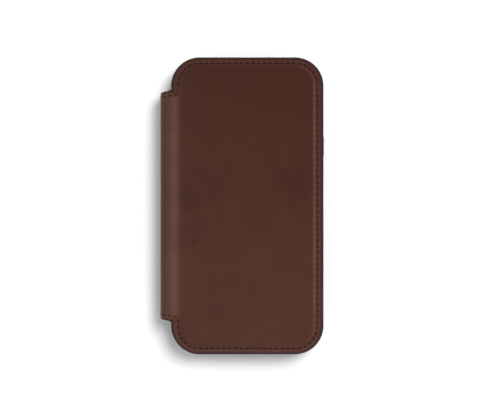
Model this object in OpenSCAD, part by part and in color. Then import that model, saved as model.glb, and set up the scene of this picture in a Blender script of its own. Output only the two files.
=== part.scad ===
/* [Phone space] */
// Length of the phone that the shell holds
phone_len = 150.9; // [135:0.1:175]
// Width of the phone
phone_wid = 75.7; // [68:0.1:88]
// Thickness of the phone
phone_thk = 8.3; // [7:0.1:11]
// Corner radius of the phone, seen from the front
phone_corner = 13.1; // [10:0.1:16]
// Free space between the phone and the shell
phone_gap = 0.2; // [0.05:0.05:0.4]

/* [Shell] */
// Thickness of the shell's side walls
wall_thk = 1.6; // [1.4:0.1:2.4]
// Thickness of the shell's back
shell_back = 1.2; // [0.8:0.1:2]
// Height of the lip over the phone's front
lip_high = 1; // [0.7:0.1:1.6]
// How far the lip reaches in over the phone's edge
lip_reach = 1; // [0.6:0.1:1.6]
// Thickness of the soft pad inside the shell
pad_thk = 0.4; // [0.3:0.1:0.8]
// Margin between the pad and the cavity's walls
pad_margin = 1.2; // [0.6:0.1:3]

/* [Camera opening] */
// Width of the camera opening
cam_wid = 28; // [22:0.5:40]
// Height of the camera opening
cam_high = 30; // [22:0.5:42]
// Corner radius of the camera opening
cam_corner = 8; // [5:0.5:10]
// Distance from the phone's right edge to the opening
cam_side = 4.8; // [3.8:0.1:6]
// Distance from the phone's top edge to the opening
cam_top = 4.8; // [3.8:0.1:6]
// Thickness of the collar that guards the cut leather
cam_collar = 1.2; // [0.8:0.1:1.6]

/* [Ports] */
// Length of the charging port's opening
port_len = 13.5; // [10:0.5:16]
// Height of the charging port's opening
port_high = 6; // [5:0.1:6.6]
// Length of each sound slot
sound_len = 12; // [8:0.5:14]
// Height of each sound slot
sound_high = 3.2; // [2:0.1:3.8]
// Distance from the port's centre to a sound slot's centre
sound_pitch = 19; // [16:0.5:21]
// Length of the opening over the silent switch
switch_len = 9.5; // [8:0.5:12]
// Height of the opening over the silent switch
switch_high = 5; // [4.6:0.1:5.6]
// Distance from the phone's top end down to the middle of the silent switch
switch_down = 24.45; // [20:0.05:34]

/* [Buttons] */
// Length of a button cap
cap_len = 10.5; // [8:0.5:12]
// Height of a button cap
cap_high = 2.8; // [2:0.1:3.4]
// How far a cap stands out of the shell
cap_proud = 0.3; // [0.3:0.05:0.8]
// Travel of a button
cap_travel = 0.35; // [0.2:0.05:0.4]
// Clearance between a cap and its hole
cap_gap = 0.15; // [0.1:0.05:0.25]
// Width of the flange that keeps a cap in the wall
cap_flange = 0.8; // [0.5:0.1:1.2]
// Thickness of that flange
flange_thk = 0.45; // [0.35:0.05:0.5]
// Distance from the phone's top end down to the middle of the power button
power_down = 44.45; // [34:0.05:56]
// Space between the switch opening and the volume caps, and between those caps
cap_space = 3.5; // [2.5:0.1:8]

/* [Leather] */
// Thickness of the outer leather
leather_thk = 1.2; // [0.9:0.1:1.8]
// Thickness of the suede lining
lining_thk = 0.5; // [0.3:0.1:0.8]
// How far the leather's edge lies inside the shell's edge
leather_inset = 1.0; // [0.2:0.1:1.5]
// Thickness of the adhesive sheet under the shell
glue_thk = 0.2; // [0.1:0.05:0.4]
// Margin between the adhesive and the leather's edge
glue_margin = 1.5; // [1:0.1:4]
// Thickness of the stiff board inside the cover
board_thk = 0.8; // [0.6:0.1:1.6]
// Flat strip between the stitch groove and the raised field over the board
field_gap = 0.3; // [0.3:0.1:3]
// Thickness of one pocket panel
panel_thk = 0.6; // [0.4:0.1:0.9]
// Space between the closed cover and the lip
cover_gap = 0.3; // [0.2:0.1:1]

/* [Spine] */
// Distance from the shell's ends to the spine's ends
spine_notch = 17.85; // [15.5:0.05:26]
// Distance from the shell's left side to the spine's outer face
spine_out = 5.4; // [5:0.1:9]
// Radius of the rolled folds along the spine
fold_r = 1.6; // [1.5:0.05:1.9]
// Clearance around each fold
fold_gap = 0.15; // [0.1:0.05:0.3]
// Clearance between the bevels beside each fold
bevel_gap = 0.2; // [0.15:0.05:0.4]
// Radius where the spine's ends run into the panels
tab_fillet = 2; // [1:0.1:2.6]

/* [Pockets] */
// Distance from the shell's left edge to the cash pocket's open edge
cash_left = 8; // [7:0.5:12]
// Distance from the shell's left edge to the card panels' left edge
card_left = 12.5; // [12:0.5:16]
// Distance from the leather's top edge down to the upper card panel's edge
card_down = 34.65; // [10:0.05:50]
// Step from one card panel to the next
card_step = 12; // [8:0.5:14]
// Depth of a card slot
card_depth = 87; // [86:0.5:90]
// Radius of the thumb notches
notch_r = 12; // [8:0.5:16]
// Depth of the thumb notches
notch_deep = 4; // [2:0.5:6]

/* [Stitching] */
// Distance from one stitch to the next
stitch_pitch = 3; // [2.5:0.1:4]
// Length of a stitch
stitch_len = 2.2; // [1.6:0.1:2.3]
// Thickness of the thread
thread_thk = 0.5; // [0.3:0.05:0.6]
// Height of the thread above the bottom of its groove
thread_high = 0.2; // [0.15:0.05:0.25]
// Distance from the shell's edge to the stitch line
stitch_in = 3.4; // [2.8:0.05:3.4]
// Distance from the spine's ends to its stitch lines
stitch_end = 2; // [1.8:0.1:3.5]
// Width of the stitch groove
groove_wid = 0.9; // [0.8:0.05:1.1]
// Depth of the stitch groove
groove_deep = 0.3; // [0.25:0.05:0.4]

/* [Magnets] */
// Length of a magnet bar
magnet_len = 22; // [10:0.5:26]
// Width of a magnet bar
magnet_wid = 4; // [3:0.1:5]
// Thickness of a magnet bar
magnet_thk = 0.5; // [0.4:0.05:0.5]
// Clearance between a magnet and its recess
magnet_gap = 0.1; // [0.05:0.05:0.2]
// Distance from the phone's bottom end to the lower magnet
magnet_end = 18.5; // [14:0.5:30]
// Distance from the power button's recess to the upper magnet
magnet_down = 10; // [4:0.5:16]

/* [Hidden] */
$fn = 48;
over = 1;

// Half sizes of the cavity, the shell and the leather, and their corner radii
cav_x = phone_wid / 2 + phone_gap;
cav_y = phone_len / 2 + phone_gap;
cav_r = phone_corner + phone_gap;
shell_x = cav_x + wall_thk;
shell_y = cav_y + wall_thk;
shell_r = cav_r + wall_thk;
panel_x = shell_x - leather_inset;
panel_y = shell_y - leather_inset;
panel_r = shell_r - leather_inset;
board_margin = stitch_in + groove_wid / 2 + leather_thk + field_gap;
board_x = shell_x - board_margin;
board_y = shell_y - board_margin;
board_r = shell_r - board_margin;

// Levels from the back's outer face upwards
fold_thk = leather_thk + lining_thk;
z_glue = fold_thk;
z_shell = z_glue + glue_thk;
z_pad = z_shell + shell_back;
z_phone = z_pad + pad_thk;
z_lip = z_phone + phone_thk + 0.1;
z_top = z_lip + lip_high;
z_card_low = z_top + cover_gap;
z_card_mid = z_card_low + panel_thk;
z_card_up = z_card_mid + panel_thk;
z_cash = z_card_up + panel_thk;
z_lining = z_cash + panel_thk;
z_board = z_lining + lining_thk;
z_seam = z_board + leather_thk;
z_field = z_seam + board_thk;
z_side = z_phone + phone_thk / 2;

// Fold lines
spine_x = -shell_x - spine_out;
fold_x = spine_x + fold_r;
fold_low = fold_r;
fold_up = z_seam - fold_r;
tab_end = shell_y - spine_notch;
spine_len = 2 * tab_end;

// Camera opening
cam_x = phone_wid / 2 - cam_side - cam_wid / 2;
cam_y = phone_len / 2 - cam_top - cam_high / 2;

// Places along the phone of the switch, the buttons and the magnets
switch_y = phone_len / 2 - switch_down;
power_y = phone_len / 2 - power_down;
vol_up_y = switch_y - switch_len / 2 - cap_space - cap_len / 2;
vol_down_y = vol_up_y - cap_len - cap_space;
magnet_y = [power_y - cap_len / 2 - cap_flange - magnet_down - magnet_len / 2,
    magnet_end + magnet_len / 2 - phone_len / 2];

// Top edge of the lowest card panel
card_low_y = panel_y - card_down - 2 * card_step;

// Rectangle centred on the origin with true round corners
module round_rect(x, y, r) {
    square([2 * x - 2 * r, 2 * y], center = true);
    square([2 * x, 2 * y - 2 * r], center = true);
    for (i = [-1, 1], j = [-1, 1])
        translate([i * (x - r), j * (y - r)])
            circle(r);
}

// Rectangle with round corners, raised from one level to another
module slab(x, y, r, z0, z1) {
    translate([0, 0, z0])
        linear_extrude(z1 - z0)
            round_rect(x, y, r);
}

// Camera opening, grown by an amount, cut from one level to another
module camera_cut(grow, z0, z1) {
    translate([cam_x, cam_y, 0])
        slab(cam_wid / 2 + grow, cam_high / 2 + grow, cam_corner + grow, z0, z1);
}

// Outline of a panel with the tab that runs to the fold
module panel_outline() {
    round_rect(panel_x, panel_y, panel_r);
    translate([fold_x, -tab_end])
        square([panel_r, spine_len]);
    for (j = [-1, 1])
        scale([1, j])
            translate([-panel_x - tab_fillet, tab_end])
                difference() {
                    square([tab_fillet + 0.5, tab_fillet]);
                    translate([0, tab_fillet])
                        circle(tab_fillet);
                }
}

// Room that a fold needs at the end of a panel, with the outer side up
module fold_room() {
    translate([fold_x, 0, 0])
        rotate([90, 0, 0]) {
            cylinder(r = fold_r + fold_gap, h = spine_len + 2 * over, center = true);
            linear_extrude(spine_len + 2 * over, center = true)
                polygon([[-5, -5 - bevel_gap], [5, 5 - bevel_gap], [-5, 5]]);
        }
}

// Leather or lining panel between two levels, ending at the fold at height fz
module fold_panel(z0, z1, fz, up) {
    difference() {
        translate([0, 0, z0])
            linear_extrude(z1 - z0)
                panel_outline();
        translate([0, 0, fz])
            scale([1, 1, up])
                fold_room();
    }
}

// Outline of the groove that the perimeter stitches lie in
module groove_outline() {
    line_x = shell_x - stitch_in;
    line_y = shell_y - stitch_in;
    line_r = shell_r - stitch_in;
    half = groove_wid / 2;
    row = tab_end - stitch_end;
    difference() {
        round_rect(line_x + half, line_y + half, line_r + half);
        round_rect(line_x - half, line_y - half, line_r - half);
        translate([-line_x - over, -row + half])
            square([2 * over, 2 * row - groove_wid]);
    }
    for (j = [-1, 1])
        translate([fold_x - over, j * row - half])
            square([-line_x + half - fold_x + over, groove_wid]);
}

// One stitch, lying along X
module stitch() {
    translate([-stitch_len / 2, -thread_thk / 2, 0])
        cube([stitch_len, thread_thk, thread_high]);
}

// Row of stitches from a to b, evenly spaced at about the pitch
module stitch_row(a, b) {
    run = b - a;
    n = max(1, round(norm(run) / stitch_pitch));
    for (i = [0:n - 1])
        translate([a[0] + run[0] * (i + 0.5) / n, a[1] + run[1] * (i + 0.5) / n, 0])
            rotate([0, 0, atan2(run[1], run[0])])
                stitch();
}

// Stitches round an arc about c
module stitch_arc(c, r, a0, a1) {
    n = round((a1 - a0) * PI / 180 * r / stitch_pitch);
    for (i = [0:n - 1])
        translate([c[0], c[1], 0])
            rotate([0, 0, a0 + (a1 - a0) * (i + 0.5) / n])
                translate([r, 0, 0])
                    rotate([0, 0, 90])
                        stitch();
}

// Every stitch round one panel's three free sides and along the two tab ends
module perimeter_stitches() {
    line_x = shell_x - stitch_in;
    line_y = shell_y - stitch_in;
    line_r = shell_r - stitch_in;
    mid_x = line_x - line_r;
    mid_y = line_y - line_r;
    row = tab_end - stitch_end;
    stitch_row([line_x, -mid_y], [line_x, mid_y]);
    for (j = [-1, 1]) {
        stitch_row([-mid_x, j * line_y], [mid_x, j * line_y]);
        stitch_row([-line_x, j * (row + thread_thk)], [-line_x, j * mid_y]);
        stitch_row([-line_x - 0.5, j * row], [-line_x - 4, j * row]);
    }
    stitch_arc([mid_x, mid_y], line_r, 0, 90);
    stitch_arc([-mid_x, mid_y], line_r, 90, 180);
    stitch_arc([-mid_x, -mid_y], line_r, 180, 270);
    stitch_arc([mid_x, -mid_y], line_r, 270, 360);
}

module back_leather() {
    color("saddlebrown")
        difference() {
            fold_panel(0, leather_thk, fold_low, -1);
            camera_cut(cam_collar + 0.2, -over, leather_thk + over);
            translate([0, 0, -over])
                linear_extrude(over + groove_deep)
                    groove_outline();
        }
}

module back_lining() {
    color("dimgray")
        difference() {
            fold_panel(leather_thk, fold_thk, fold_low, -1);
            camera_cut(cam_collar + 0.2, 0, fold_thk + over);
        }
}

module back_stitching() {
    color("maroon")
        translate([0, 0, groove_deep - thread_high])
            perimeter_stitches();
}

module shell_adhesive() {
    m = leather_inset + glue_margin;
    color("gainsboro")
        difference() {
            slab(shell_x - m, shell_y - m, shell_r - m, z_glue, z_shell);
            camera_cut(cam_collar + 0.2, z_glue - over, z_shell + over);
        }
}

// Stadium-shaped hole through a wall, along Y, centred on the origin
module wall_slot(len, high) {
    rotate([90, 0, 0])
        linear_extrude(8 * wall_thk, center = true) {
            square([len - high, high], center = true);
            for (i = [-1, 1])
                translate([i * (len - high) / 2, 0])
                    circle(high / 2);
        }
}

// Hole and inner recess for one button in the right-hand wall, at height y
module button_room(y) {
    deep = flange_thk + cap_travel + 0.1;
    translate([cav_x + wall_thk / 2, y, z_side])
        cube([4 * wall_thk, cap_len + 2 * cap_gap, cap_high + 2 * cap_gap], center = true);
    translate([cav_x - over + deep / 2 + over / 2, y, z_side])
        cube([deep + over, cap_len + 2 * (cap_flange + cap_gap),
            cap_high + 2 * (cap_flange + cap_gap)], center = true);
}

module phone_shell() {
    open_x = cav_x - lip_reach;
    open_y = cav_y - lip_reach;
    color("#1c1b1b")
        difference() {
            union() {
                slab(shell_x, shell_y, shell_r, z_shell, z_top);
                camera_cut(cam_collar, leather_thk / 3, z_shell + shell_back / 2);
            }
            slab(cav_x, cav_y, cav_r, z_pad, z_lip);
            slab(open_x, open_y, cav_r - lip_reach, z_lip - over, z_top + over);
            camera_cut(0, 0, z_pad + over);
            translate([0, -shell_y, z_side])
                wall_slot(port_len, port_high);
            for (i = [-1, 1])
                translate([i * sound_pitch, -shell_y, z_side])
                    wall_slot(sound_len, sound_high);
            translate([-shell_x, switch_y, z_side])
                rotate([0, 0, 90])
                    wall_slot(switch_len, switch_high);
            button_room(power_y);
            mirror([1, 0, 0]) {
                button_room(vol_up_y);
                button_room(vol_down_y);
            }
            for (y = magnet_y)
                translate([cav_x - over, y - magnet_len / 2 - magnet_gap,
                    z_side - magnet_wid / 2 - magnet_gap])
                    cube([over + magnet_thk, magnet_len + 2 * magnet_gap,
                        magnet_wid + 2 * magnet_gap]);
        }
}

module shell_lining() {
    color("dimgray")
        difference() {
            slab(cav_x - pad_margin, cav_y - pad_margin, cav_r - pad_margin, z_pad, z_phone);
            camera_cut(0.6, z_pad - over, z_phone + over);
        }
}

module shell_magnets() {
    color("silver")
        for (y = magnet_y)
            translate([cav_x, y - magnet_len / 2, z_side - magnet_wid / 2])
                cube([magnet_thk, magnet_len, magnet_wid]);
}

// One button cap with its flange, in the right-hand wall at height y
module button(y) {
    base = cav_x + cap_travel + 0.05;
    tip = shell_x + cap_proud;
    translate([base, y - cap_len / 2 - cap_flange, z_side - cap_high / 2 - cap_flange])
        cube([flange_thk, cap_len + 2 * cap_flange, cap_high + 2 * cap_flange]);
    translate([base, y, z_side])
        rotate([90, 0, 90])
            linear_extrude(tip - base) {
                square([cap_len - cap_high, cap_high], center = true);
                for (i = [-1, 1])
                    translate([i * (cap_len - cap_high) / 2, 0])
                        circle(cap_high / 2);
            }
}

module power_button() {
    color("#2a2a2a")
        button(power_y);
}

module volume_up_button() {
    color("#2a2a2a")
        mirror([1, 0, 0])
            button(vol_up_y);
}

module volume_down_button() {
    color("#2a2a2a")
        mirror([1, 0, 0])
            button(vol_down_y);
}

// Spine seen along the fold lines: a strip with a rolled bead on each fold line
module spine_profile() {
    from = fold_low + fold_r + bevel_gap;
    to = fold_up - fold_r - bevel_gap;
    inner = spine_x + leather_thk;
    rise = fold_r - leather_thk;
    polygon([[spine_x, from], [inner, fold_low + rise + bevel_gap],
        [inner, fold_up - rise - bevel_gap], [spine_x, to]]);
    for (z = [fold_low, fold_up])
        translate([fold_x, z])
            circle(fold_r);
}

module spine_leather() {
    half = groove_wid / 2;
    low = fold_low + fold_r + 2 * bevel_gap;
    high = fold_up - fold_r - 2 * bevel_gap;
    color("saddlebrown")
        difference() {
            rotate([90, 0, 0])
                linear_extrude(spine_len, center = true)
                    spine_profile();
            for (j = [-1, 1])
                translate([spine_x - over, j * (tab_end - stitch_end) - half, low])
                    cube([over + groove_deep, groove_wid, high - low]);
        }
}

module spine_lining() {
    low = fold_low + fold_r + 0.05;
    high = fold_up - fold_r - 0.05;
    color("dimgray")
        translate([spine_x + leather_thk, -tab_end, low])
            cube([lining_thk, spine_len, high - low]);
}

module spine_stitching() {
    low = fold_low + fold_r + 2 * bevel_gap + 0.3;
    high = fold_up - fold_r - 2 * bevel_gap - 0.3;
    color("maroon")
        for (j = [-1, 1])
            translate([spine_x + groove_deep, j * (tab_end - stitch_end), 0])
                rotate([0, -90, 0])
                    stitch_row([low, 0], [high, 0]);
}

module cover_leather() {
    color("saddlebrown")
        difference() {
            union() {
                fold_panel(z_board, z_seam, fold_up, 1);
                slab(board_x + leather_thk, board_y + leather_thk, board_r + leather_thk,
                    z_board, z_field);
            }
            slab(board_x, board_y, board_r, z_board - over, z_board + board_thk);
            translate([0, 0, z_seam - groove_deep])
                linear_extrude(groove_deep + over)
                    groove_outline();
        }
}

// Recesses for the magnets in the board, grown by an amount
module board_magnets(grow) {
    for (y = magnet_y)
        translate([board_x - 3 - magnet_wid - grow, y - magnet_len / 2 - grow,
            z_board])
            cube([magnet_wid + 2 * grow, magnet_len + 2 * grow, magnet_thk + grow]);
}

module cover_board() {
    color("tan")
        difference() {
            slab(board_x, board_y, board_r, z_board, z_board + board_thk);
            translate([0, 0, -magnet_gap])
                board_magnets(magnet_gap);
        }
}

module cover_magnets() {
    color("silver")
        board_magnets(0);
}

module cover_lining() {
    color("dimgray")
        fold_panel(z_lining, z_board, fold_up, 1);
}

// The panel's outline right of x, from y0 to y1, as one flat pocket panel
module pocket_panel(x, y0, y1, z) {
    translate([0, 0, z])
        linear_extrude(panel_thk)
            intersection() {
                round_rect(panel_x, panel_y, panel_r);
                translate([x, y0])
                    square([2 * panel_x, y1 - y0]);
            }
}

module cash_pocket() {
    color("sienna")
        pocket_panel(-shell_x + cash_left, -panel_y, panel_y, z_cash);
}

// One card panel, with its thumb notch, counted from the lowest
module card_panel(i, z) {
    left = -shell_x + card_left;
    top = card_low_y + i * card_step;
    bottom = max(top - card_depth, -panel_y);
    mid = (left + shell_x - stitch_in) / 2;
    difference() {
        pocket_panel(left, bottom, top, z);
        translate([mid, top + notch_r - notch_deep, z - over])
            cylinder(r = notch_r, h = panel_thk + 2 * over);
    }
}

module card_pocket_upper() {
    color("sienna")
        card_panel(2, z_card_up);
}

module card_pocket_middle() {
    color("sienna")
        card_panel(1, z_card_mid);
}

module card_pocket_lower() {
    color("sienna")
        card_panel(0, z_card_low);
}

// Seam along the card panels' left edges, on each panel's own face
module pocket_stitching() {
    x = -shell_x + card_left + 1.9;
    faces = [z_card_low, z_card_mid, z_card_up];
    color("maroon")
        for (i = [0:2])
            translate([x, 0, faces[i] - thread_high])
                stitch_row([0, i == 0 ? -board_y : card_low_y + (i - 1) * card_step + 0.3],
                    [0, card_low_y + i * card_step - 0.3]);
}

module cover_stitching() {
    color("maroon")
        translate([0, 0, z_seam - groove_deep])
            perimeter_stitches();
}

back_leather();
back_lining();
back_stitching();
shell_adhesive();
phone_shell();
shell_lining();
shell_magnets();
power_button();
volume_up_button();
volume_down_button();
spine_leather();
spine_lining();
spine_stitching();
cover_leather();
cover_board();
cover_magnets();
cover_lining();
cash_pocket();
card_pocket_upper();
card_pocket_middle();
card_pocket_lower();
pocket_stitching();
cover_stitching();
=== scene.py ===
"""Folding leather wallet case for a phone, closed and lying on its back panel."""

import math

import bmesh
import bpy
from mathutils import Matrix, Vector


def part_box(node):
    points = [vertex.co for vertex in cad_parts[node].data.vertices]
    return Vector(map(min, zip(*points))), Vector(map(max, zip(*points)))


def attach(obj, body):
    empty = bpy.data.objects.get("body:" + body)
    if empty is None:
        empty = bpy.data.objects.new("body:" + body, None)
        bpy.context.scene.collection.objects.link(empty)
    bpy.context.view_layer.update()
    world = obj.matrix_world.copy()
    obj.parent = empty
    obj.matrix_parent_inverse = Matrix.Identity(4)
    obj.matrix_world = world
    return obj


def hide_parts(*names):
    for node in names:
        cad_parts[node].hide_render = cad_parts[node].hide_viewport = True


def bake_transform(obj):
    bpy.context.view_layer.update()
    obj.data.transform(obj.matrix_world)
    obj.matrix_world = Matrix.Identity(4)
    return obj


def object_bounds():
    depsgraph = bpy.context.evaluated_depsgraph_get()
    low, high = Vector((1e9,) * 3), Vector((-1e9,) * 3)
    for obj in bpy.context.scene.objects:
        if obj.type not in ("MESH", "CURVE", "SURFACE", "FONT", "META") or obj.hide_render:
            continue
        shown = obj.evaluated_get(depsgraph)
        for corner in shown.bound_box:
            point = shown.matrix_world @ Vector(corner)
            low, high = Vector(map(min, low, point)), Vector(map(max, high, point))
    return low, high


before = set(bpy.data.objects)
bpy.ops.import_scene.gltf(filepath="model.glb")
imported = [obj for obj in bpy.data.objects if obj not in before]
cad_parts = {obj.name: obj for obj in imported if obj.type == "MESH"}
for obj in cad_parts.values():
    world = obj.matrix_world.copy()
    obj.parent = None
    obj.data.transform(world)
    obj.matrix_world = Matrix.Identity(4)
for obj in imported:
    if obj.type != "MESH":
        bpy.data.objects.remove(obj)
CAD_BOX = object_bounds()

# ---------------------------------------------------------------- sizes, in millimetres
MM = 0.001


def cad_box(node):
    """Lowest and highest corner of a CAD node, in millimetres."""
    low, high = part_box(node)
    return low / MM, high / MM


SHELL_X, SHELL_Y, SHELL_TOP = cad_box("phone_shell")[1]
LEATHER_X, LEATHER_Y, FIELD_Z = cad_box("cover_leather")[1]
BOARD_X, BOARD_Y = cad_box("cover_board")[1].xy
SPINE_LOW, SPINE_HIGH = cad_box("spine_leather")
LINING_LOW, LINING_HIGH = cad_box("cover_lining")
PAD_LOW, PAD_HIGH = cad_box("shell_lining")
GLUE_TOP = cad_box("shell_adhesive")[1].z
MAGNET_LOW, MAGNET_HIGH = cad_box("shell_magnets")
CASH = cad_box("cash_pocket")
CARDS = [cad_box(n) for n in ("card_pocket_lower", "card_pocket_middle", "card_pocket_upper")]

CORNER = 14.9                               # corner radius of the shell's outside
LEATHER_R = CORNER - SHELL_X + LEATHER_X
BOARD_R = CORNER - SHELL_X + BOARD_X
LEATHER = 1.2
LINING = LINING_HIGH.z - LINING_LOW.z
SEAM_Z = SPINE_HIGH.z                       # outer face of the cover along its seam
FIELD_RISE = FIELD_Z - SEAM_Z               # the board lifts the field by this much
SPINE_X, TAB_END = SPINE_LOW.x, SPINE_HIGH.y
TAB_FILLET = 2.7
TAPER = 0.012                               # the spine narrows this much towards its outer face
FOLD_R = 4.5                                # outer radius of the leather as it rolls round
FOLD_START = SPINE_X + FOLD_R
NEUTRAL = FOLD_R - (LEATHER + LINING) / 2
FOLD_ARC = NEUTRAL * math.pi / 2            # flat length of a quarter turn round the fold
STRIP_END = FOLD_START - FOLD_ARC - (SEAM_Z / 2 - FOLD_R)   # the middle of the spine, on the flat sheet
CUT_LENGTH = FOLD_START - SPINE_X + 12.5    # the strip is first cut this much too long
HIDE_INSET, SUEDE_INSET = 0.1, 0.4          # how far the finished edges lie inside the cut edge
STITCH_IN = 3.5                             # stitch line inside the shell's edge
STITCH_END = 2.7                            # stitch line inside the spine's ends
SEAM_SHIFT = 0.4                            # the seam leans in by this much beside the spine
SEAM_TURN = 2.6                             # radius of the seam where it turns on to the spine
PITCH = 3.0
STITCH_SINK = 0.08                          # a stitch's middle lies this far below its leather's face
INNER_STITCH_HIGH = -0.36                   # negative, because an inner stitch stands off downwards


# ---------------------------------------------------------------- mesh helpers
SHARP_ANGLE = 38                            # edges that turn more than this stay crisp
MERGE = 1e-4


def rounded_loop(bm, half_x, half_y, radius, z=0.0, per_corner=20):
    """A flat rounded rectangle as one face, made from a circle whose quarters move apart."""
    made = bmesh.ops.create_circle(bm, cap_ends=True, segments=4 * per_corner, radius=radius)
    turn = Matrix.Rotation(math.pi / (4 * per_corner), 3, "Z")
    for v in made["verts"]:
        v.co = turn @ v.co
        v.co.x += math.copysign(half_x - radius, v.co.x)
        v.co.y += math.copysign(half_y - radius, v.co.y)
        v.co.z = z
    face = made["verts"][0].link_faces[0]
    if face.normal.z < 0:
        face.normal_flip()
    return face


def stepped_rim(bm, face, steps):
    """Insets a face again and again: each step is (width, rise), so the steps draw a rim's profile."""
    for width, rise in steps:
        bmesh.ops.inset_region(bm, faces=[face], thickness=width, depth=rise,
                               use_even_offset=True, use_boundary=True)
    return face


def distance_out(x, y, half_x, half_y, radius):
    """Distance outside a rounded rectangle, negative inside."""
    dx, dy = abs(x) - half_x + radius, abs(y) - half_y + radius
    return math.hypot(max(dx, 0), max(dy, 0)) + min(max(dx, dy), 0) - radius


def smooth(low, high, value):
    """0 at low, 1 at high and past them, easing between; low may be the larger."""
    t = min(max((value - low) / (high - low), 0), 1)
    return t * t * (3 - 2 * t)


def bump(value, middle, width):
    """A smooth hump, 1 at its middle."""
    return math.exp(-((value - middle) / width) ** 2)


def cut_lines(bm, axis, places):
    """Adds an edge line right across the mesh at each place along an axis."""
    normal = Vector([float(i == axis) for i in range(3)])
    for place in places:
        geom = bm.verts[:] + bm.edges[:] + bm.faces[:]
        bmesh.ops.bisect_plane(bm, geom=geom, dist=MERGE, plane_co=normal * place, plane_no=normal)


def trim(bm, axis, place, side, close=True):
    """Cuts away what lies past a place along an axis, on the side of its sign, and closes the cut."""
    normal = Vector([float(i == axis) * side for i in range(3)])
    geom = bm.verts[:] + bm.edges[:] + bm.faces[:]
    made = bmesh.ops.bisect_plane(bm, geom=geom, dist=MERGE, plane_co=normal * place * side,
                                  plane_no=normal, clear_outer=True)
    edges = [e for e in made["geom_cut"] if isinstance(e, bmesh.types.BMEdge) and e.is_boundary]
    if close and edges:
        bmesh.ops.holes_fill(bm, edges=edges)


def clear_corners(bm, reach):
    """Takes out the points crowding a flat outline's corners, so that its rim can be inset cleanly."""
    corners = [v for v in bm.verts if turning(v) > math.radians(20)]
    crowded = [v for v in bm.verts if v not in corners
               and any((v.co - c.co).length < reach for c in corners)]
    bmesh.ops.dissolve_verts(bm, verts=crowded)


def turning(v):
    """How sharply an outline turns at one of its points."""
    a, b = (e.other_vert(v).co - v.co for e in v.link_edges)
    return math.pi - a.angle(b)


def finish_piece(bm, name, materials, body, sharp=SHARP_ANGLE):
    """Turns a bmesh in millimetres into a finished object in metres, riding on its body."""
    bmesh.ops.remove_doubles(bm, verts=bm.verts, dist=MERGE)
    bmesh.ops.recalc_face_normals(bm, faces=bm.faces)
    bmesh.ops.scale(bm, vec=(MM, MM, MM), verts=bm.verts)
    mesh = bpy.data.meshes.new(name)
    bm.to_mesh(mesh)
    bm.free()
    for material in materials:
        mesh.materials.append(material)
    mesh.shade_smooth()
    mesh.set_sharp_from_angle(angle=math.radians(sharp))
    piece = bpy.data.objects.new(name, mesh)
    bpy.context.scene.collection.objects.link(piece)
    if body:
        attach(piece, body)
    return piece


def carve(piece, cutters):
    """Cuts other shapes out of a piece, then removes them."""
    for cutter in cutters:
        tool = piece.modifiers.new("cut", "BOOLEAN")
        tool.object = cutter
        tool.operation = "DIFFERENCE"
        tool.solver = "EXACT"
        bpy.context.view_layer.update()
        graph = bpy.context.evaluated_depsgraph_get()
        mesh = bpy.data.meshes.new_from_object(piece.evaluated_get(graph))
        piece.modifiers.clear()
        old, piece.data = piece.data, mesh
        bpy.data.meshes.remove(old)
    for cutter in cutters:
        bpy.data.objects.remove(cutter)
    piece.data.shade_smooth()
    piece.data.set_sharp_from_angle(angle=math.radians(SHARP_ANGLE))
    return piece


# ---------------------------------------------------------------- the folio's leather and lining
CREASE_LINES = [-33.4, -33.7, -34.0, -34.3, -34.6, -35.0, -35.6, -36.4, -37.2, -38.0, -38.8, -39.4,
                -39.9, -40.3]
ROLL_LINES = [FOLD_START - 0.42 * i for i in range(15)]
WALL_LINES = [FOLD_START - 6.6 - 1.1 * i for i in range(3)]
OUTER_RIM = [(0.06, 0.12), (0.1, 0.1), (0.16, 0.07), (0.3, 0.05), (0.4, 0.04), (0.45, 0.03),
             (0.43, 0.01), (0.3, -0.05), (0.28, -0.09), (0.28, 0.09), (0.3, 0.05)]
OUTER_RIM += [(0.25, 0)] * 9 + [(0.4, 0), (0.6, 0)]
INNER_RIM = [(0.08, 0.1), (0.14, 0.06), (0.5, 0.02), (2.6, 0), (0.4, 0), (0.4, 0), (0.4, 0), (0.6, 0)]
LINING_RIM = [(0.08, 0.06), (0.15, 0.03)]
PAINT_WIDE = 0.32                           # edge paint reaches this far over the face
FILLET_REACH = 0.4                          # and no further than this into the spine's filleted roots
BAND_TOP, BAND_FOOT = -35.3, -41.3          # the leather slopes from the board's edge to the fold
BAND_SHINE = -37.6                          # the middle of the band, where its painted highlight is strongest
CREASE_DEEP = 0.08                          # the band dips this share of the rise at the board's edge
SHOULDER_IN, SHOULDER_OUT = -0.7, 1.45      # where the field falls off, from the board's edge outwards
RIDGE = 0.1                                 # the ridge of painted highlight on that shoulder
STRIP_SHINE = 1.75                          # the painted sheen along the strip outside the seam
BACK_DIP = 0.12                             # the back's shallow dip beside the spine


def edge_depth(x, y):
    """How far a point of the flat-cut sheet lies inside its edge."""
    body = -distance_out(x, y, LEATHER_X, LEATHER_Y, LEATHER_R)
    return max(body, TAB_END - abs(y)) if x < FOLD_START + 6 else body


def tab_share(y):
    """1 across the spine's width, easing to 0 at its two ends."""
    return 1 - smooth(TAB_END - 3.6, TAB_END - 0.8, abs(y))


def past_board(x, y):
    """Distance outside the board's outline."""
    return distance_out(x, y, BOARD_X, BOARD_Y, BOARD_R)


def cover_relief(x, y):
    """Height of the cover's outer face over its seam: the field over the board, and the soft band
    that slopes from the board's edge down to the fold."""
    share = tab_share(y) * (x < 0)
    shoulder = 1 - smooth(SHOULDER_IN, SHOULDER_OUT, past_board(x, y))
    band = smooth(BAND_FOOT, BAND_TOP, x) - CREASE_DEEP * bump(x, -BOARD_X, 0.5)
    return FIELD_RISE * (share * band + (1 - share) * shoulder)


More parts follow.
